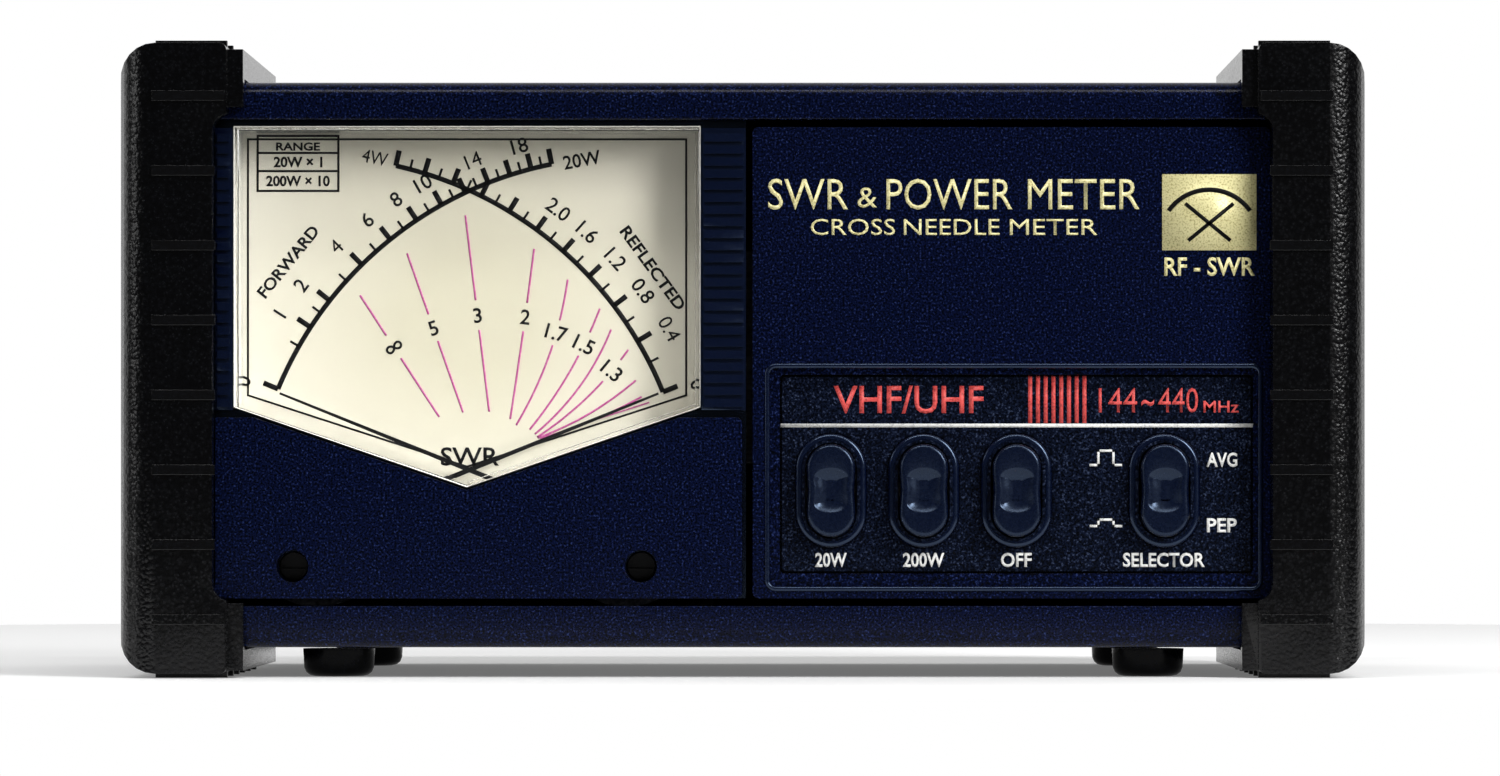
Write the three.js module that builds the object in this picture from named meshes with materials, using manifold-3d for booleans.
// Bench cross-needle SWR and power meter: one named mesh for each piece of the assembly.
// Millimetres. +X is the operator's right, -Y is the front, +Z is up.
// The origin is the centre of the whole meter's footprint, on the table it stands on.
import * as THREE from "three";
import { mergeVertices } from "three/addons/utils/BufferGeometryUtils.js";
import Module from "manifold-3d";

const wasm = await Module();
wasm.setup();

// ---------- Driving dimensions ----------

// General clearances: GAP lies between pieces that touch, SLIDE between pieces that move.
const GAP = 0.3;
const SLIDE = 0.25;

// The case.
const GUARD_SPAN = 165; // over both end guards
const CASE_HEIGHT = 75; // underside to top, without guards or feet
const CASE_DEPTH = 92; // front rails to the back panel's outer face
const FOOT_HEIGHT = 4; // table to the case's underside
const SHEET = 1.2; // steel cover sheet
const COVER_ROUND = 2; // folded edges of the covers
const SEAM_RISE = 40; // where the two covers meet
const MOULDING = 2.5; // wall of the front moulding
const BEZEL_DEPTH = 14; // front rails to the front moulding's back edge
const RAIL_BOTTOM = 5.5; // height of the lower rail
const RAIL_TOP = 5; // height of the upper rail
const RAIL_ROUND = 2.4; // rounded front edges of the rails
const GROOVE = 1; // shadow groove between rails and panels

// The rubber end guards.
const GUARD_WALL = 3.5; // side wall
const GUARD_RISE = 4.9; // top of the guard over the top of the case
const GUARD_DEPTH = 60; // reach back along the case
const GUARD_PROUD = 4; // front face in front of the rails
const GUARD_FACE = 12.5; // width of the front face between the rails
const GUARD_LEG = 1.9; // extra width of the face over the rails
const GUARD_LIP = 2.1; // low lip beyond the leg
const LIP_SETBACK = 1.2; // lip behind the front face
const LIP_DROP = 0.8; // lip below the top of the guard
const GUARD_ROUND = 5; // outer corner
const RIB_RISE = 0.6;
const RIB_HEIGHT = 1.3;
const RIB_PITCH = 9.87;
const RIB_COUNT = 8;
const RIB_INSET = 4.6; // outer end of a rib from the guard's side
const RIB_OVERHANG = 0.4; // inner end of a front rib beyond the face's edge
const LOWEST_RIB = 7.8; // centre of the lowest rib above the table

// The dial window and the pieces round it.
const WINDOW_WIDTH = 61.6;
const WINDOW_SIDE_HEIGHT = 37.1; // straight side edge
const WINDOW_POINT = 10.5; // drop of the pointed lower edge
const WINDOW_WALL = 1;
const WINDOW_SETBACK = 1; // window face behind the rails
const LIP_DEPTH = 3.4; // wall along the pointed lower edge
const DIAL_SETBACK = 9.7; // dial face behind the rails
const DIAL_SHEET = 0.8;
const STRIP_WIDTH = 5.6; // ribbed strip between window and control panel
const LEFT_STRIP = 2.3; // ribbed strip between guard and window
const STRIP_PITCH = 1.6;
const STRIP_RIB = 1.05;
const STRIP_RIB_RISE = 0.55;
const COVER_SHEET = 2.2;
const COVER_WINDOW_GAP = 0.5;
const ACCESS_HOLE_R = 2.15;
const ADJUSTER_R = 1.8;
const ADJUSTER_OUTSET = 2.3; // adjuster beyond its movement's pivot
const ADJUSTER_RISE = 14.75; // above the table

// The two moving-coil movements.
const NEEDLE_CLEARANCE = 4.2; // needle tip to the window's side and top walls, at least
const NEEDLE_REST = 22; // degrees above horizontal at zero
const NEEDLE_SWEEP = 56; // degrees from zero to full scale
const NEEDLE_SHEET = 0.4;
const STAFF_R = 0.6;
const YOKE_R = 10;
const YOKE_CLEARANCE = 1; // yoke to the housing's floor
const YOKE_WALL = 1.6;
const CORE_R = 4.2;
const MAGNET_DEPTH = 8;
const HOUSING_WALL = 1.4;
const HOUSING_DEPTH = 18;
const HOUSING_OVERLAP = 1.6; // housing beyond the window's outline

// The control section.
const DIVIDER = 0.9; // groove between the meter and the control panel
const PANEL_SETBACK = 0.6;
const PANEL_SHEET = 3;
const FRAME_LEFT = 3.1;
const FRAME_RIGHT = 68.8;
const FRAME_LOW = 11.6;
const FRAME_HIGH = 41.5;
const FRAME_DEEP = 0.7;
const PLATE_LEFT = 4.9;
const PLATE_RIGHT = 67.7;
const PLATE_LOW = 13.8;
const PLATE_HIGH = 40.2;
const PLATE_SETBACK = 2;
const PLATE_SHEET = 2;

// The push buttons and the switch bank behind them.
const BUTTONS = [
  ["range_20w", 11.7],
  ["range_200w", 24],
  ["power_off", 36.3],
  ["peak_hold", 55.95],
];
const BUTTON_RISE = 24.8;
const BUTTON_WIDTH = 6.4;
const BUTTON_HEIGHT = 12.3;
const BUTTON_TRAVEL = 2.8; // a pressed cap is flush with its collar
const BUTTON_DISH = 0.6;
const DISH_R = 2.4;
const COLLAR_WALL = 0.75;
const COLLAR_RISE = 1;
const MOAT = 0.6;
const MOAT_DEEP = 0.5;
const PLUNGER = 2.8;
const BANK_SETBACK = 18; // switch frame behind the rails
const SWITCH_WIDTH = 9.4;
const SWITCH_DEPTH = 20;
const SWITCH_LOW = 18.3;
const SWITCH_HIGH = 31;
const SPRING_WIRE = 0.45;
const SPRING_TURNS = 5;
const SPRING_STEPS = 9; // straight steps in a turn
const LATCH_SHEET = 0.8;

// The back.
const BACK_SHEET = 1.5;
const SOCKET_SPREAD = 26; // each socket from the case's centre
const SOCKET_RISE = 44; // above the table
const SOCKET_FLANGE = 25.4;
const FLANGE_SHEET = 3;
const BARREL_R = 7.95;
const CAVITY_R = 6.2;
const CAVITY_DEEP = 7;
const SOCKET_REACH = 17;
const COUPLER_WIDTH = 84;
const COUPLER_HEIGHT = 30;
const COUPLER_DEPTH = 24;
const COUPLER_WALL = 1.6;
const JACK_R = 4;
const JACK_BORE_R = 2.2;
const JACK_RISE = 16;
const FOOT_R = 4.8;
const FOOT_SPREAD = 54.2;
const FRONT_FOOT_SETBACK = 11;
const REAR_FOOT_SETBACK = 78;

// ---------- Derived places ----------

const DEPTH = RIB_RISE + GUARD_PROUD + CASE_DEPTH + SOCKET_REACH;
const RAIL = -DEPTH / 2 + RIB_RISE + GUARD_PROUD; // y of the rails' front
const FACE = RAIL - GUARD_PROUD; // y of the guards' front
const BACK = RAIL + CASE_DEPTH; // y of the back panel's outer face
const HALF = GUARD_SPAN / 2;
const CASE_X = HALF - GUARD_WALL - GAP;
const CASE_LOW = FOOT_HEIGHT;
const CASE_HIGH = CASE_LOW + CASE_HEIGHT;
const PANEL_LOW = CASE_LOW + RAIL_BOTTOM + GROOVE;
const PANEL_HIGH = CASE_HIGH - RAIL_TOP - GROOVE;
const GUARD_INNER = HALF - GUARD_FACE;
const PANEL_RIGHT = GUARD_INNER;
const PANEL_OPENING = GUARD_INNER + GAP;
const COVER_Y = RAIL + BEZEL_DEPTH + GAP; // front edge of the steel covers
const HOLLOW_Y = RAIL + PANEL_SETBACK + PANEL_SHEET; // back of the panels
const WINDOW_Y = RAIL + WINDOW_SETBACK;
const DIAL_Y = RAIL + DIAL_SETBACK;
const HOUSING_Y = DIAL_Y + DIAL_SHEET + GAP;
const WINDOW_HALF = WINDOW_WIDTH / 2;
const WINDOW_SIDE_LOW = PANEL_HIGH - WINDOW_SIDE_HEIGHT;
const WINDOW_LOW = WINDOW_SIDE_LOW - WINDOW_POINT;
const METER_CENTRE = -GUARD_INNER + LEFT_STRIP + GAP + WINDOW_HALF;
const STRIP_RIGHT = METER_CENTRE + WINDOW_HALF + GAP + STRIP_WIDTH + GAP;
const PANEL_LEFT = STRIP_RIGHT + DIVIDER;
const PIVOT_OFFSET = WINDOW_HALF - YOKE_R; // each pivot from the meter's centre
const PIVOT_RISE = CASE_LOW + MOULDING + GAP + HOUSING_WALL + YOKE_CLEARANCE + YOKE_R;
const ADJUSTER_OFFSET = PIVOT_OFFSET + ADJUSTER_OUTSET;
const BACKING_Y = HOLLOW_Y + GAP; // surround's backing plate
const BACKING = 1.4;

// ---------- Shapes ----------

// A closed geometry as a solid: only its positions count, with shared corners merged.
function solid(geometry) {
  const bare = geometry.index ? geometry.toNonIndexed() : geometry;
  const merged = mergeVertices(
    new THREE.BufferGeometry().setAttribute("position", bare.getAttribute("position")),
    1e-4,
  );
  const mesh = new wasm.Mesh({
    numProp: 3,
    vertProperties: new Float32Array(merged.attributes.position.array),
    triVerts: new Uint32Array(merged.index.array),
  });
  return new wasm.Manifold(mesh);
}

function join(first, ...others) {
  return others.reduce((whole, piece) => whole.add(piece), first);
}

function cut(first, ...others) {
  return others.reduce((whole, piece) => whole.subtract(piece), first);
}

function box(x0, x1, y0, y1, z0, z1) {
  const geometry = new THREE.BoxGeometry(x1 - x0, y1 - y0, z1 - z0);
  return solid(geometry.translate((x0 + x1) / 2, (y0 + y1) / 2, (z0 + z1) / 2));
}

function extrusion(shape, length, curveSegments) {
  return new THREE.ExtrudeGeometry(shape, { depth: length, bevelEnabled: false, curveSegments });
}

// A shape drawn as the front sees it (x, z), running from y0 to y1.
function alongY(shape, y0, y1, curveSegments = 4) {
  const geometry = extrusion(shape, y1 - y0, curveSegments);
  return solid(geometry.rotateX(Math.PI / 2).translate(0, y1, 0));
}

// A shape drawn as the top sees it (x, y), running from z0 to z1.
function alongZ(shape, z0, z1, curveSegments = 4) {
  return solid(extrusion(shape, z1 - z0, curveSegments).translate(0, 0, z0));
}

// A shape drawn as the right side sees it (y, z), running from x0 to x1.
function alongX(shape, x0, x1, curveSegments = 4) {
  const turn = new THREE.Matrix4().makeBasis(
    new THREE.Vector3(0, 1, 0),
    new THREE.Vector3(0, 0, 1),
    new THREE.Vector3(1, 0, 0),
  );
  return solid(extrusion(shape, x1 - x0, curveSegments).applyMatrix4(turn).translate(x0, 0, 0));
}

// A round rod along Y about (x, z).
function rodY(x, z, radius, y0, y1, sides = 16) {
  const geometry = new THREE.CylinderGeometry(radius, radius, y1 - y0, sides);
  return solid(geometry.translate(x, (y0 + y1) / 2, z));
}

// A rectangle with its own radius at each corner: low left, low right, high right, high left.
function roundedRect(x0, x1, z0, z1, radii) {
  const [a, b, c, d] = Array.isArray(radii) ? radii : [radii, radii, radii, radii];
  const shape = new THREE.Shape();
  const quarter = Math.PI / 2;
  const corner = (x, z, radius, start) => {
    if (radius > 0) shape.absarc(x, z, radius, start, start + quarter);
    else shape.lineTo(x, z);
  };
  shape.moveTo(x0 + a, z0);
  corner(x1 - b, z0 + b, b, -quarter);
  corner(x1 - c, z1 - c, c, 0);
  corner(x0 + d, z1 - d, d, quarter);
  corner(x0 + a, z0 + a, a, 2 * quarter);
  return shape;
}

// An upright slot with round ends, centred on (x, z).
function obround(x, z, width, height) {
  const r = width / 2;
  return roundedRect(x - r, x + r, z - height / 2, z + height / 2, r - 0.001);
}

function polygon(points) {
  return new THREE.Shape(points.map(([x, z]) => new THREE.Vector2(x, z)));
}

// The dial window's outline: straight sides and top, and a lower edge that runs to a point.
function windowOutline(grow) {
  const slope = WINDOW_POINT / WINDOW_HALF;
  const fall = grow * Math.hypot(1, slope); // the sloped edges move by the same distance
  const half = WINDOW_HALF + grow;
  const side = WINDOW_SIDE_LOW + grow * slope - fall;
  return polygon([
    [METER_CENTRE, WINDOW_LOW - fall],
    [METER_CENTRE + half, side],
    [METER_CENTRE + half, PANEL_HIGH + grow],
    [METER_CENTRE - half, PANEL_HIGH + grow],
    [METER_CENTRE - half, side],
  ]);
}

// ---------- The group that holds the meter ----------

const FINISHES = {
  moulding: { color: 0x0a1024, roughness: 0.62, metalness: 0 },
  rubber: { color: 0x101216, roughness: 0.8, metalness: 0 },
  cap: { color: 0x0a0c14, roughness: 0.3, metalness: 0 },
  clear: { color: 0xe8ecee, roughness: 0.05, metalness: 0 },
  dial: { color: 0xe9dfc8, roughness: 0.6, metalness: 0 },
  needle: { color: 0x08080a, roughness: 0.5, metalness: 0 },
  copper: { color: 0xb06a38, roughness: 0.35, metalness: 1 },
  magnet: { color: 0x4a4c50, roughness: 0.5, metalness: 1 },
  steel: { color: 0x9a9ca0, roughness: 0.4, metalness: 1 },
  paint: { color: 0x14151a, roughness: 0.55, metalness: 0 },
  nickel: { color: 0xc8c6be, roughness: 0.25, metalness: 1 },
  brass: { color: 0xc9a24a, roughness: 0.3, metalness: 1 },
  insulator: { color: 0xece8dc, roughness: 0.5, metalness: 0 },
  board: { color: 0x1f5a34, roughness: 0.5, metalness: 0 },
  plastic: { color: 0x1a1a1c, roughness: 0.5, metalness: 0 },
};

const meter = new THREE.Group();

function place(name, manifold, finish) {
  const { numProp, vertProperties, triVerts } = manifold.getMesh();
  if (numProp !== 3) throw new Error(`${name} has more than positions`);
  const geometry = new THREE.BufferGeometry();
  geometry.setAttribute("position", new THREE.BufferAttribute(new Float32Array(vertProperties), 3));
  geometry.setIndex(new THREE.BufferAttribute(new Uint32Array(triVerts), 1));
  const flat = geometry.toNonIndexed();
  flat.computeVertexNormals();
  const mesh = new THREE.Mesh(flat, new THREE.MeshStandardMaterial(FINISHES[finish]));
  mesh.name = name;
  meter.add(mesh);
}

// ---------- Front moulding and panels ----------

// The moulded front: two rounded rails and two hidden stiles, open in the middle for the panels.
function frontBezel() {
  const back = RAIL + BEZEL_DEPTH;
  const side = new THREE.Shape();
  const quarter = Math.PI / 2;
  side.moveTo(back, CASE_LOW);
  side.lineTo(back, CASE_HIGH);
  side.absarc(RAIL + RAIL_ROUND, CASE_HIGH - RAIL_ROUND, RAIL_ROUND, quarter, 2 * quarter);
  side.absarc(RAIL + RAIL_ROUND, CASE_LOW + RAIL_ROUND, RAIL_ROUND, 2 * quarter, 3 * quarter);
  const block = alongX(side, -CASE_X, CASE_X, 5);
  const opening = box(
    -PANEL_OPENING, PANEL_OPENING,
    RAIL - 1, back + 1,
    PANEL_LOW - GROOVE, PANEL_HIGH + GROOVE,
  );
  const hollow = box(
    -CASE_X + MOULDING, CASE_X - MOULDING,
    HOLLOW_Y - GAP, back + 1,
    CASE_LOW + MOULDING, CASE_HIGH - MOULDING,
  );
  return cut(block, opening, hollow);
}

// The right-hand panel: a flat field with a shallow pocket, open where the switch plate shows.
function controlPanel() {
  const y = RAIL + PANEL_SETBACK;
  const field = roundedRect(PANEL_LEFT, PANEL_RIGHT, PANEL_LOW, PANEL_HIGH, 0.8);
  const pocket = roundedRect(FRAME_LEFT, FRAME_RIGHT, FRAME_LOW, FRAME_HIGH, 1.3);
  const opening = roundedRect(PLATE_LEFT, PLATE_RIGHT, PLATE_LOW, PLATE_HIGH, 0.6);
  return cut(
    alongY(field, y, y + PANEL_SHEET, 3),
    alongY(pocket, y - 1, y + FRAME_DEEP, 3),
    alongY(opening, y - 1, y + PANEL_SHEET + 1, 2),
  );
}

// The switch plate: a face that fills the panel's opening, a wider back that stops behind it,
// and a raised collar inside a shallow moat round each button.
function controlPlate() {
  const faceY = RAIL + PLATE_SETBACK;
  const stopY = HOLLOW_Y + GAP;
  const face = roundedRect(
    PLATE_LEFT + GAP, PLATE_RIGHT - GAP, PLATE_LOW + GAP, PLATE_HIGH - GAP, 0.5,
  );
  const stop = roundedRect(PLATE_LEFT - 1, PLATE_RIGHT + 1, PLATE_LOW - 1, PLATE_HIGH + 1, 0.8);
  let plate = join(
    alongY(face, faceY, stopY + 0.1, 2),
    alongY(stop, stopY, stopY + PLATE_SHEET, 2),
  );
  const innerWidth = BUTTON_WIDTH + 2 * SLIDE;
  const innerHeight = BUTTON_HEIGHT + 2 * SLIDE;
  const outerWidth = innerWidth + 2 * COLLAR_WALL;
  const outerHeight = innerHeight + 2 * COLLAR_WALL;
  for (const [, x] of BUTTONS) {
    const slot = (width, height) => obround(x, BUTTON_RISE, width, height);
    const moatSlot = slot(outerWidth + 2 * MOAT, outerHeight + 2 * MOAT);
    const moat = alongY(moatSlot, faceY - 1, faceY + MOAT_DEEP, 3);
    const collar = alongY(
      slot(outerWidth, outerHeight), faceY - COLLAR_RISE, faceY + MOAT_DEEP + 0.1, 3,
    );
    const hole = alongY(slot(innerWidth, innerHeight), faceY - 2, stopY + PLATE_SHEET + 1, 3);
    plate = plate.subtract(moat).add(collar).subtract(hole);
  }
  return plate;
}

// ---------- Meter front ----------

// The surround: a backing plate with the window's shape cut out of it, two bores for the zero
// adjusters, and a ribbed strip on each side of the window.
function meterSurround() {
  const top = PANEL_HIGH + GROOVE + 1.6;
  const left = -CASE_X + MOULDING + GAP;
  const backing = box(left, STRIP_RIGHT, BACKING_Y, BACKING_Y + BACKING, PANEL_LOW, top);
  const stripFace = RAIL + WINDOW_SETBACK + 0.2;
  const stripLow = WINDOW_SIDE_LOW - 0.4;
  const strips = [
    [STRIP_RIGHT - STRIP_WIDTH - GAP, STRIP_RIGHT],
    [-GUARD_INNER, METER_CENTRE - WINDOW_HALF - GAP],
  ].map(([x0, x1]) => {
    const slab = box(x0, x1, stripFace, BACKING_Y + 0.1, stripLow, PANEL_HIGH - 0.1);
    const ribs = [];
    for (let z = stripLow + 0.4; z + STRIP_RIB < PANEL_HIGH; z += STRIP_PITCH) {
      const rib = [stripFace - STRIP_RIB_RISE, stripFace + 0.1, z, z + STRIP_RIB];
      ribs.push(box(x0 + 0.3, x1 - 0.3, ...rib));
    }
    return join(slab, ...ribs);
  });
  const bores = [-1, 1].map((side) =>
    rodY(
      METER_CENTRE + side * ADJUSTER_OFFSET, ADJUSTER_RISE, ADJUSTER_R + SLIDE, RAIL, HOUSING_Y, 20,
    ),
  );
  const hole = alongY(windowOutline(GAP), RAIL - 1, HOUSING_Y);
  return cut(join(backing, ...strips), hole, ...bores);
}

// The lower cover: fills the panel below the window and hides the movements.
function meterCover() {
  const x0 = -GUARD_INNER + 0.1;
  const x1 = STRIP_RIGHT - 0.5;
  const field = roundedRect(x0, x1, PANEL_LOW, WINDOW_SIDE_LOW - 1.4, [1.5, 0.8, 0.8, 0.2]);
  const holes = [-1, 1].map((side) =>
    rodY(METER_CENTRE + side * ADJUSTER_OFFSET, ADJUSTER_RISE, ACCESS_HOLE_R, RAIL - 1, RAIL + 5, 20),
  );
  return cut(
    alongY(field, RAIL, RAIL + COVER_SHEET, 3),
    alongY(windowOutline(COVER_WINDOW_GAP), RAIL - 1, RAIL + 5),
    ...holes,
  );
}

// The clear window: a front pane with side and top walls that stand on the dial. The walls
// along the pointed lower edge are low, so the needles can come in behind them.
function meterWindow() {
  const outer = alongY(windowOutline(0), WINDOW_Y, DIAL_Y - GAP);
  const inner = alongY(windowOutline(-WINDOW_WALL), WINDOW_Y + WINDOW_WALL, DIAL_Y);
  const lipBack = WINDOW_Y + LIP_DEPTH;
  const needleWay = box(
    METER_CENTRE - WINDOW_HALF - 1, METER_CENTRE + WINDOW_HALF + 1,
    lipBack, DIAL_Y, WINDOW_LOW - 2, WINDOW_SIDE_LOW + 0.6,
  );
  return cut(outer, inner, needleWay);
}

function dialPlate() {
  return alongY(windowOutline(-0.2), DIAL_Y, DIAL_Y + DIAL_SHEET);
}

// The movement housing: a black tray behind the dial, with a hole for the lamp.
function meterHousing() {
  const x0 = METER_CENTRE - WINDOW_HALF - HOUSING_OVERLAP;
  const x1 = METER_CENTRE + WINDOW_HALF + HOUSING_OVERLAP;
  const z0 = CASE_LOW + MOULDING + GAP;
  const z1 = PANEL_HIGH + 0.6;
  const wall = HOUSING_WALL;
  const depth = HOUSING_DEPTH;
  const block = box(x0, x1, HOUSING_Y, HOUSING_Y + depth, z0, z1);
  const tray = box(x0 + wall, x1 - wall, HOUSING_Y - 1, HOUSING_Y + depth - wall, z0 + wall, z1 - wall);
  const lampHole = rodY(METER_CENTRE, LAMP_RISE, LAMP_HOLDER_R + GAP, HOUSING_Y, HOUSING_Y + depth + 1);
  return cut(block, tray, lampHole);
}

// ---------- Movements ----------

const LAMP_RISE = 60;
const LAMP_HOLDER_R = 3.4;
const HOUSING_BACK = HOUSING_Y + HOUSING_DEPTH - HOUSING_WALL; // inner face of its back wall
const MAGNET_Y = HOUSING_Y + 3.6;

// The needle reaches as far as the window's side wall lets it at rest, and no further than the
// top wall lets it at full scale.
function needleLength() {
  const rest = THREE.MathUtils.degToRad(NEEDLE_REST);
  const full = THREE.MathUtils.degToRad(NEEDLE_REST + NEEDLE_SWEEP);
  const room = WINDOW_WALL + NEEDLE_CLEARANCE;
  const sideways = (PIVOT_OFFSET + WINDOW_HALF - room) / Math.cos(rest);
  const upwards = (PANEL_HIGH - room - PIVOT_RISE) / Math.sin(full);
  return Math.min(sideways, upwards);
}

// One movement, turned so that its needle points along angle (degrees from +X towards +Z).
function movement(name, side, angle, needleY) {
  const x = METER_CENTRE + side * PIVOT_OFFSET;
  const z = PIVOT_RISE;
  const toAngle = (piece, degrees) =>
    piece.translate([-x, 0, -z]).rotate([0, -degrees, 0]).translate([x, 0, z]);

  const length = needleLength();
  const blade = polygon([
    [x - 7, z - 0.8],
    [x - 1, z - 0.8],
    [x + 1, z - 0.45],
    [x + length, z - 0.16],
    [x + length, z + 0.16],
    [x + 1, z + 0.45],
    [x - 1, z + 0.8],
    [x - 7, z + 0.8],
  ]);
  const hub = rodY(x, z, 1.9, needleY - 0.2, needleY + NEEDLE_SHEET + 0.2);
  const staffHole = rodY(x, z, STAFF_R + GAP, needleY - 2, needleY + 2, 12);
  const needle = cut(join(alongY(blade, needleY, needleY + NEEDLE_SHEET), hub), staffHole);
  place(`${name}_needle`, toAngle(needle, angle), "needle");

  // The coil: a rectangular winding that turns round the magnet core, on its staff.
  const coilR = CORE_R + 1;
  const y0 = MAGNET_Y - 2.4;
  const y1 = MAGNET_Y + MAGNET_DEPTH + 2.4;
  const winding = cut(
    box(x - coilR - 1.1, x + coilR + 1.1, y0, y1, z - 1.3, z + 1.3),
    box(x - coilR, x + coilR, y0 + 1.4, y1 - 1.4, z - 2, z + 2),
  );
  const staffs = [
    rodY(x, z, STAFF_R, needleY - 0.6, y0 + 0.5, 12),
    rodY(x, z, STAFF_R, y1 - 0.5, HOUSING_BACK - GAP, 12),
  ];
  place(`${name}_coil`, toAngle(join(winding, ...staffs), angle), "copper");

  // The magnet: a ring yoke with the core held by two webs that the coil never reaches, and
  // two legs that stand on the housing's back wall.
  const yoke = cut(
    rodY(x, z, YOKE_R, MAGNET_Y, MAGNET_Y + MAGNET_DEPTH, 32),
    rodY(x, z, YOKE_R - YOKE_WALL, MAGNET_Y - 1, MAGNET_Y + MAGNET_DEPTH + 1, 32),
  );
  const core = rodY(x, z, CORE_R, MAGNET_Y, MAGNET_Y + MAGNET_DEPTH, 24);
  const web = box(
    x - YOKE_R + 0.5, x + YOKE_R - 0.5, MAGNET_Y + 1, MAGNET_Y + MAGNET_DEPTH - 1, z - 0.8, z + 0.8,
  );
  const legs = [-1, 1].map((end) =>
    box(
      x + end * (YOKE_R - 1.2) - 1, x + end * (YOKE_R - 1.2) + 1,
      MAGNET_Y + MAGNET_DEPTH - 1, HOUSING_BACK - GAP, z - 2, z + 2,
    ),
  );
  const acrossSweep = angle - (side * NEEDLE_SWEEP) / 2 + 90;
  place(`${name}_magnet`, toAngle(join(yoke, core, web, ...legs), acrossSweep), "magnet");
}

// A zero adjuster: a slotted head in the surround's bore, with a flange behind it.
function zeroAdjuster(side) {
  const x = METER_CENTRE + side * ADJUSTER_OFFSET;
  const headY = BACKING_Y - 0.5;
  const flangeY = BACKING_Y + BACKING + GAP;
  const head = rodY(x, ADJUSTER_RISE, ADJUSTER_R, headY, flangeY + 0.1, 20);
  const flange = rodY(x, ADJUSTER_RISE, ADJUSTER_R + 0.9, flangeY, flangeY + 0.5, 20);
  const slot = box(x - 3, x + 3, headY - 1, headY + 0.6, ADJUSTER_RISE - 0.3, ADJUSTER_RISE + 0.3);
  return cut(join(head, flange), slot);
}

// ---------- Buttons and switch bank ----------

const CAP_FRONT = RAIL + PLATE_SETBACK - COLLAR_RISE - BUTTON_TRAVEL;
const PLATE_BACK = HOLLOW_Y + GAP + PLATE_SHEET;
const CAP_STOP = PLATE_BACK + GAP; // front of the cap's stop flange
const CAP_BACK = CAP_STOP + 1;
const BANK_Y = RAIL + BANK_SETBACK;
const PLUNGER_FRONT = CAP_FRONT + 3.2;
const SHOULDER_Y = CAP_BACK + 0.6;

function buttonCap(x) {
  const slot = (grow) => obround(x, BUTTON_RISE, BUTTON_WIDTH + grow, BUTTON_HEIGHT + grow);
  const body = alongY(slot(0), CAP_FRONT, CAP_STOP + 0.1, 3);
  const flange = alongY(slot(1.4), CAP_STOP, CAP_BACK, 3);
  const dishR = (DISH_R * DISH_R + BUTTON_DISH * BUTTON_DISH) / (2 * BUTTON_DISH);
  const ball = new THREE.SphereGeometry(dishR, 20, 24).rotateX(Math.PI / 2);
  const dish = solid(ball.translate(x, CAP_FRONT + BUTTON_DISH - dishR, BUTTON_RISE));
  const half = PLUNGER / 2 + GAP;
  const bore = box(
    x - half, x + half, PLUNGER_FRONT - GAP, CAP_BACK + 1, BUTTON_RISE - half, BUTTON_RISE + half,
  );
  return cut(join(body, flange), dish, bore);
}

// The plunger: a square bar from the cap through the switch, with a shoulder for its spring.
function plunger(x) {
  const half = PLUNGER / 2;
  const end = BANK_Y + SHEET + GAP + SWITCH_DEPTH + 1.5;
  const bar = box(x - half, x + half, PLUNGER_FRONT, end, BUTTON_RISE - half, BUTTON_RISE + half);
  return join(bar, rodY(x, BUTTON_RISE, 3.2, SHOULDER_Y, SHOULDER_Y + 1));
}

// The return spring: a coil round the plunger, from its shoulder to the switch frame.
function returnSpring(x) {
  const y0 = SHOULDER_Y + 1 + GAP + SPRING_WIRE / 2;
  const y1 = BANK_Y - GAP - SPRING_WIRE / 2;
  const radius = PLUNGER * Math.SQRT1_2 + GAP + SPRING_WIRE / 2;
  const points = [];
  const steps = SPRING_TURNS * SPRING_STEPS;
  for (let i = 0; i <= steps; i++) {
    const turn = (i / SPRING_STEPS) * 2 * Math.PI;
    const y = y0 + ((y1 - y0) * i) / steps;
    points.push(new THREE.Vector3(
      x + radius * Math.cos(turn), y, BUTTON_RISE + radius * Math.sin(turn),
    ));
  }
  const section = new THREE.Shape().absarc(0, 0, SPRING_WIRE / 2, 0, 2 * Math.PI);
  const path = new THREE.CatmullRomCurve3(points);
  const geometry = new THREE.ExtrudeGeometry(section, {
    steps, extrudePath: path, curveSegments: 3, bevelEnabled: false,
  });
  return solid(geometry);
}

// The switch frame: one folded steel strip that the four switches are crimped to.
function switchFrame() {
  const x0 = BUTTONS[0][1] - SWITCH_WIDTH / 2 - 1;
  const x1 = BUTTONS[3][1] + SWITCH_WIDTH / 2 + 1;
  const half = PLUNGER / 2 + SLIDE;
  const face = box(x0, x1, BANK_Y, BANK_Y + SHEET, SWITCH_LOW, SWITCH_HIGH + 0.6);
  const holes = BUTTONS.map(([, x]) =>
    box(
      x - half, x + half, BANK_Y - 1, BANK_Y + SHEET + 1, BUTTON_RISE - half, BUTTON_RISE + half,
    ),
  );
  return cut(face, ...holes);
}

function switchBody(x) {
  const y0 = BANK_Y + SHEET + GAP;
  const half = PLUNGER / 2 + SLIDE;
  const y1 = y0 + SWITCH_DEPTH;
  const side = SWITCH_WIDTH / 2;
  const body = box(x - side, x + side, y0, y1, SWITCH_LOW, SWITCH_HIGH);
  const way = box(x - half, x + half, y0 - 1, y1 + 1, BUTTON_RISE - half, BUTTON_RISE + half);
  return cut(body, way);
}

// The latch bar: slides across the tops of the three range switches, one tooth to a switch.
function latchBar() {
  const z = SWITCH_HIGH + GAP;
  const y = BANK_Y + SHEET + 2;
  const bar = box(BUTTONS[0][1] - 5, BUTTONS[2][1] + 5, y, y + 4, z, z + LATCH_SHEET);
  const teeth = BUTTONS.slice(0, 3).map(([, x]) =>
    box(x - 1, x + 1, y + 3.9, y + 7, z, z + LATCH_SHEET),
  );
  return join(bar, ...teeth);
}

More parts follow.
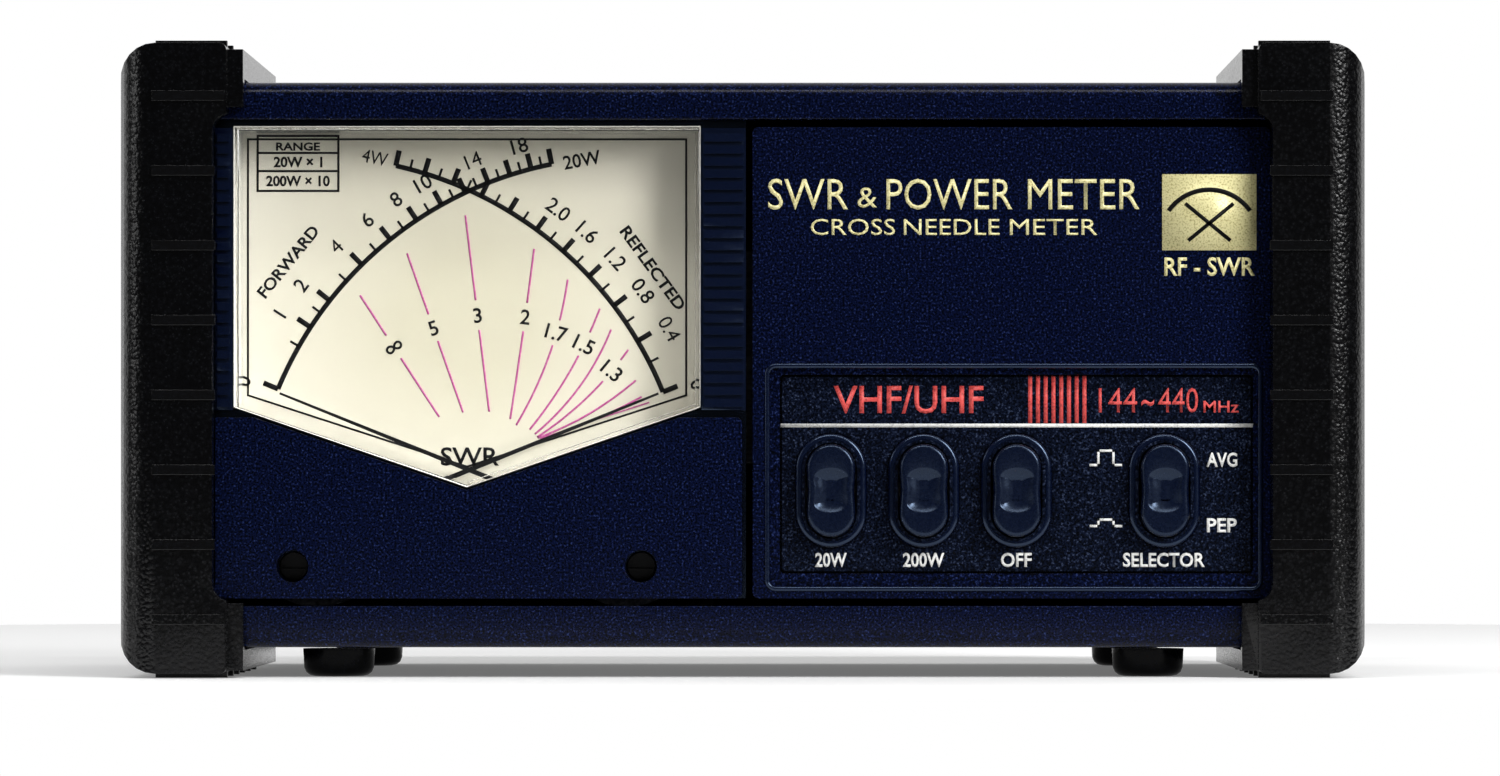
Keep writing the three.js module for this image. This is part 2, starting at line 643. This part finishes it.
// ---------- Boards and small parts ----------

const BOARD_HIGH = SWITCH_LOW - GAP;
const BOARD_SHEET = 1.6;
const BOARD_LEFT = 3;
const BOARD_RIGHT = 72;
const BOARD_FRONT = BANK_Y - 1;
const BOARD_BACK = BANK_Y + 42;

function mainBoard() {
  return box(BOARD_LEFT, BOARD_RIGHT, BOARD_FRONT, BOARD_BACK, BOARD_HIGH - BOARD_SHEET, BOARD_HIGH);
}

function capacitor() {
  const geometry = new THREE.CylinderGeometry(4, 4, 11, 20).rotateX(Math.PI / 2);
  return solid(geometry.translate(62, BOARD_BACK - 9, BOARD_HIGH + GAP + 5.5));
}

function chip() {
  const z = BOARD_HIGH + GAP;
  return box(38, 48, BOARD_BACK - 13, BOARD_BACK - 6.6, z, z + 3.4);
}

function trimmer(x) {
  const z = BOARD_HIGH + GAP;
  const y = BOARD_BACK - 10;
  const body = box(x - 3.3, x + 3.3, y - 3.3, y + 3.3, z, z + 4.4);
  const slot = box(x - 1.6, x + 1.6, y - 0.35, y + 0.35, z + 3.6, z + 5);
  return body.subtract(slot);
}

// ---------- Case ----------

// An inverted or upright U of sheet, drawn as the front sees it.
function sheetU(zEnd, zBase, y0, y1) {
  const up = zBase > zEnd;
  const inner = zBase + (up ? -SHEET : SHEET);
  const low = Math.min(zEnd, zBase);
  const high = Math.max(zEnd, zBase);
  const radii = up ? [0, 0, COVER_ROUND, COVER_ROUND] : [COVER_ROUND, COVER_ROUND, 0, 0];
  const block = alongY(roundedRect(-CASE_X, CASE_X, low, high, radii), y0, y1, 3);
  const way = box(
    -CASE_X + SHEET, CASE_X - SHEET, y0 - 1, y1 + 1,
    up ? low - 1 : inner, up ? inner : high + 1,
  );
  return block.subtract(way);
}

const SCREW_R = 1.7;
const SCREW_RISE = 12;
const SCREW_SETBACK = 82;

function rodX(y, z, radius, x0, x1, sides = 16) {
  const geometry = new THREE.CylinderGeometry(radius, radius, x1 - x0, sides).rotateZ(Math.PI / 2);
  return solid(geometry.translate((x0 + x1) / 2, y, z));
}

function rodZ(x, y, radius, z0, z1, sides = 20) {
  const geometry = new THREE.CylinderGeometry(radius, radius, z1 - z0, sides).rotateX(Math.PI / 2);
  return solid(geometry.translate(x, y, (z0 + z1) / 2));
}

function topCover() {
  return sheetU(SEAM_RISE + GAP, CASE_HIGH, COVER_Y, BACK - BACK_SHEET - GAP);
}

// The chassis: the lower U, with four pillars that carry the main board.
function bottomChassis() {
  const tray = sheetU(SEAM_RISE, CASE_LOW, COVER_Y, BACK - BACK_SHEET - GAP);
  const pillars = [];
  for (const x of [BOARD_LEFT + 4, BOARD_RIGHT - 4]) {
    for (const y of [BOARD_FRONT + 5, BOARD_BACK - 4]) {
      pillars.push(rodZ(x, y, 2.5, CASE_LOW + 0.5, BOARD_HIGH - BOARD_SHEET - GAP, 12));
    }
  }
  const holes = [-1, 1].map((side) =>
    rodX(RAIL + SCREW_SETBACK, SCREW_RISE, SCREW_R + GAP, side * CASE_X - 4, side * CASE_X + 4),
  );
  return cut(join(tray, ...pillars), ...holes);
}

// A pan-head screw through the chassis side.
function sideScrew(side) {
  const y = RAIL + SCREW_SETBACK;
  const out = side * CASE_X;
  const span = (a, b) => (side > 0 ? [out + a, out + b] : [out - b, out - a]);
  const head = rodX(y, SCREW_RISE, 2.9, ...span(GAP, 1.9), 20);
  const shank = rodX(y, SCREW_RISE, SCREW_R, ...span(-5, GAP + 0.1), 12);
  const slot = box(...span(1.3, 3), y - 0.4, y + 0.4, SCREW_RISE - 3, SCREW_RISE + 3);
  return cut(join(head, shank), slot);
}

function backPanel() {
  const outline = roundedRect(-CASE_X, CASE_X, CASE_LOW, CASE_HIGH, COVER_ROUND);
  const sheet = alongY(outline, BACK - BACK_SHEET, BACK, 3);
  const sockets = [-1, 1].map((side) =>
    rodY(side * SOCKET_SPREAD, SOCKET_RISE, BARREL_R + GAP, BACK - 4, BACK + 1, 24),
  );
  const jack = rodY(JACK_X, JACK_RISE, JACK_R + GAP, BACK - 4, BACK + 1, 20);
  return cut(sheet, ...sockets, jack);
}

const JACK_X = -58;

// A UHF coaxial socket: square flange on the back panel, threaded barrel behind it.
function coaxSocket(side) {
  const x = side * SOCKET_SPREAD;
  const half = SOCKET_FLANGE / 2;
  const y0 = BACK + GAP;
  const flange = alongY(
    roundedRect(x - half, x + half, SOCKET_RISE - half, SOCKET_RISE + half, 1.5),
    y0, y0 + FLANGE_SHEET, 3,
  );
  const barrel = rodY(x, SOCKET_RISE, BARREL_R, y0 - 5, BACK + SOCKET_REACH, 32);
  const cavity = rodY(x, SOCKET_RISE, CAVITY_R, y0 - 6, BACK + SOCKET_REACH + 1, 32);
  return cut(join(flange, barrel), cavity);
}

// The socket's core: a white insulator that fills the barrel below the cavity, with the
// centre contact running through it.
function socketCore(side) {
  const x = side * SOCKET_SPREAD;
  const top = BACK + SOCKET_REACH - CAVITY_DEEP;
  const insulator = rodY(x, SOCKET_RISE, CAVITY_R - GAP, BACK - 4.6, top, 24);
  const contact = rodY(x, SOCKET_RISE, 1.9, BACK - 9, BACK - 4.5, 16);
  const bore = rodY(x, SOCKET_RISE, 2, top - 6, top + 1, 16);
  return cut(join(insulator, contact), bore);
}

// The directional coupler: a die-cast box behind the back panel with the line inside it.
const COUPLER_LOW = SOCKET_RISE - COUPLER_HEIGHT / 2;
const COUPLER_BACK = BACK - BACK_SHEET - GAP;
const COUPLER_FRONT = COUPLER_BACK - COUPLER_DEPTH;

function couplerBox() {
  const x = COUPLER_WIDTH / 2;
  const z1 = COUPLER_LOW + COUPLER_HEIGHT;
  const block = box(-x, x, COUPLER_FRONT, COUPLER_BACK, COUPLER_LOW, z1);
  const tray = box(
    -x + COUPLER_WALL, x - COUPLER_WALL, COUPLER_FRONT - 1, COUPLER_BACK - COUPLER_WALL,
    COUPLER_LOW + COUPLER_WALL, z1 - COUPLER_WALL,
  );
  const holes = [-1, 1].map((side) =>
    rodY(side * SOCKET_SPREAD, SOCKET_RISE, BARREL_R + GAP, COUPLER_BACK - 4, COUPLER_BACK + 1, 24),
  );
  return cut(block, tray, ...holes);
}

function couplerLid() {
  const x = COUPLER_WIDTH / 2;
  const y1 = COUPLER_FRONT - GAP;
  return box(-x, x, y1 - SHEET, y1, COUPLER_LOW, COUPLER_LOW + COUPLER_HEIGHT);
}

// The coupler's through line: a brass bar from one socket's contact to the other's.
function couplerLine() {
  const x = SOCKET_SPREAD + 2.5;
  const y1 = BACK - 9 - GAP;
  return box(-x, x, y1 - 3, y1, SOCKET_RISE - 1.5, SOCKET_RISE + 1.5);
}

function supplyJack() {
  const body = rodY(JACK_X, JACK_RISE, JACK_R, BACK - 12, BACK + 0.5, 20);
  const ring = rodY(JACK_X, JACK_RISE, JACK_R + 1.4, BACK + GAP, BACK + 2.2, 20);
  const bore = rodY(JACK_X, JACK_RISE, JACK_BORE_R, BACK - 10, BACK + 3, 16);
  return cut(join(body, ring), bore);
}

function dialLamp() {
  const glass = new THREE.SphereGeometry(2, 16, 12);
  const bulb = solid(glass.translate(METER_CENTRE, HOUSING_Y + 4.4, LAMP_RISE));
  return join(bulb, rodY(METER_CENTRE, LAMP_RISE, 1.8, HOUSING_Y + 4.4, HOUSING_Y + 10, 16));
}

function lampHolder() {
  const y0 = HOUSING_Y + 10.3;
  return rodY(METER_CENTRE, LAMP_RISE, LAMP_HOLDER_R, y0, y0 + 14, 20);
}

// A rubber foot: a turned pad with a rounded lower edge, under the chassis.
function foot(x, y) {
  const r = FOOT_R;
  const top = CASE_LOW - GAP;
  const profile = [
    [0, 0],
    [r - 1.5, 0],
    [r - 0.6, 0.5],
    [r - 0.1, 1.5],
    [r, top],
    [0, top],
  ].map(([px, pz]) => new THREE.Vector2(px, pz));
  const geometry = new THREE.LatheGeometry(profile, 24).rotateX(Math.PI / 2);
  return solid(geometry.translate(x, y, 0));
}

// ---------- End guards ----------

// One rubber end guard, built for the right end: a C that wraps the case's end, with a wide
// front face, a narrow low lip over the rails, and raised ribs that run on over top and bottom.
function guard(side) {
  const low = RIB_RISE;
  const high = CASE_HIGH + GUARD_RISE;
  const legInner = GUARD_INNER - GUARD_LEG;
  const lipInner = legInner - GUARD_LIP;
  const back = FACE + GUARD_DEPTH;
  const front = roundedRect(legInner, HALF, low, high, [1, GUARD_ROUND, GUARD_ROUND, 1]);
  const plan = roundedRect(legInner - 1, HALF, FACE, back, [0, GUARD_ROUND, 1.5, 0]);
  const block = alongY(front, FACE, back, 3).intersect(alongZ(plan, low - 1, high + 1, 3));
  const lipFront = FACE + LIP_SETBACK;
  const lipBack = back - 0.5;
  const flangeBack = FACE + GUARD_PROUD - GAP;
  const lipX = [lipInner, legInner + 0.5];
  const lips = [
    box(...lipX, lipFront, lipBack, CASE_HIGH + GAP, high - LIP_DROP),
    box(...lipX, lipFront, flangeBack, PANEL_HIGH + GROOVE + 1.5, high - LIP_DROP),
    box(...lipX, lipFront, lipBack, low + 0.4, CASE_LOW - GAP),
    box(...lipX, lipFront, flangeBack, low + 0.4, PANEL_LOW - GROOVE + 0.4),
  ];
  const caseWay = box(
    lipInner - 5, HALF - GUARD_WALL,
    FACE + GUARD_PROUD - GAP, back + 5,
    CASE_LOW - GAP, CASE_HIGH + GAP,
  );
  const panelWay = alongY(
    roundedRect(lipInner - 5, GUARD_INNER, PANEL_LOW - 0.3, PANEL_HIGH + 1.6, [0, 2.4, 2.4, 0]),
    FACE - 1, FACE + GUARD_PROUD + 1,
  );
  const x1 = HALF - RIB_INSET;
  const ribs = [];
  for (let i = 0; i < RIB_COUNT; i++) {
    const z0 = LOWEST_RIB + i * RIB_PITCH - RIB_HEIGHT / 2;
    const overLeg = z0 > PANEL_HIGH || z0 + RIB_HEIGHT < PANEL_LOW;
    const x0 = overLeg ? legInner + 0.3 : GUARD_INNER - RIB_OVERHANG;
    ribs.push(box(x0, x1, FACE - RIB_RISE, FACE + 0.5, z0, z0 + RIB_HEIGHT));
  }
  for (let y = FACE + GUARD_ROUND; y < back - 3; y += RIB_PITCH) {
    ribs.push(box(legInner + 0.3, x1, y, y + RIB_HEIGHT, high - 0.5, high + RIB_RISE));
    ribs.push(box(legInner + 0.3, x1, y, y + RIB_HEIGHT, 0, low + 0.5));
  }
  const whole = cut(join(block, ...lips), caseWay, panelWay);
  const ribbed = join(whole, ...ribs);
  return side > 0 ? ribbed : ribbed.mirror([1, 0, 0]);
}

// ---------- Assembly ----------

place("front_bezel", frontBezel(), "moulding");
place("control_panel", controlPanel(), "moulding");
place("control_plate", controlPlate(), "moulding");
place("meter_surround", meterSurround(), "moulding");
place("meter_cover", meterCover(), "moulding");
place("meter_window", meterWindow(), "clear");
place("dial_plate", dialPlate(), "dial");
place("meter_housing", meterHousing(), "plastic");
movement("forward", 1, 180 - NEEDLE_REST, RAIL + 7);
movement("reflected", -1, NEEDLE_REST, RAIL + 8.2);
place("forward_zero_adjuster", zeroAdjuster(1), "plastic");
place("reflected_zero_adjuster", zeroAdjuster(-1), "plastic");
place("dial_lamp", dialLamp(), "clear");
place("lamp_holder", lampHolder(), "brass");
for (const [name, x] of BUTTONS) {
  place(`${name}_button`, buttonCap(x), "cap");
  place(`${name}_plunger`, plunger(x), "insulator");
  place(`${name}_spring`, returnSpring(x), "steel");
  place(`${name}_switch`, switchBody(x), "plastic");
}
place("switch_frame", switchFrame(), "steel");
place("latch_bar", latchBar(), "steel");
place("main_board", mainBoard(), "board");
place("smoothing_capacitor", capacitor(), "plastic");
place("meter_amplifier", chip(), "plastic");
place("forward_trimmer", trimmer(12), "plastic");
place("reflected_trimmer", trimmer(24), "plastic");
place("top_cover", topCover(), "paint");
place("bottom_chassis", bottomChassis(), "paint");
place("left_chassis_screw", sideScrew(-1), "nickel");
place("right_chassis_screw", sideScrew(1), "nickel");
place("back_panel", backPanel(), "paint");
place("transmitter_socket", coaxSocket(-1), "nickel");
place("antenna_socket", coaxSocket(1), "nickel");
place("transmitter_socket_core", socketCore(-1), "insulator");
place("antenna_socket_core", socketCore(1), "insulator");
place("coupler_box", couplerBox(), "steel");
place("coupler_lid", couplerLid(), "steel");
place("coupler_line", couplerLine(), "brass");
place("lamp_supply_jack", supplyJack(), "plastic");
for (const [end, setback] of [["front", FRONT_FOOT_SETBACK], ["rear", REAR_FOOT_SETBACK]]) {
  place(`${end}_left_foot`, foot(-FOOT_SPREAD, RAIL + setback), "rubber");
  place(`${end}_right_foot`, foot(FOOT_SPREAD, RAIL + setback), "rubber");
}
place("left_guard", guard(-1), "rubber");
place("right_guard", guard(1), "rubber");

export default meter;
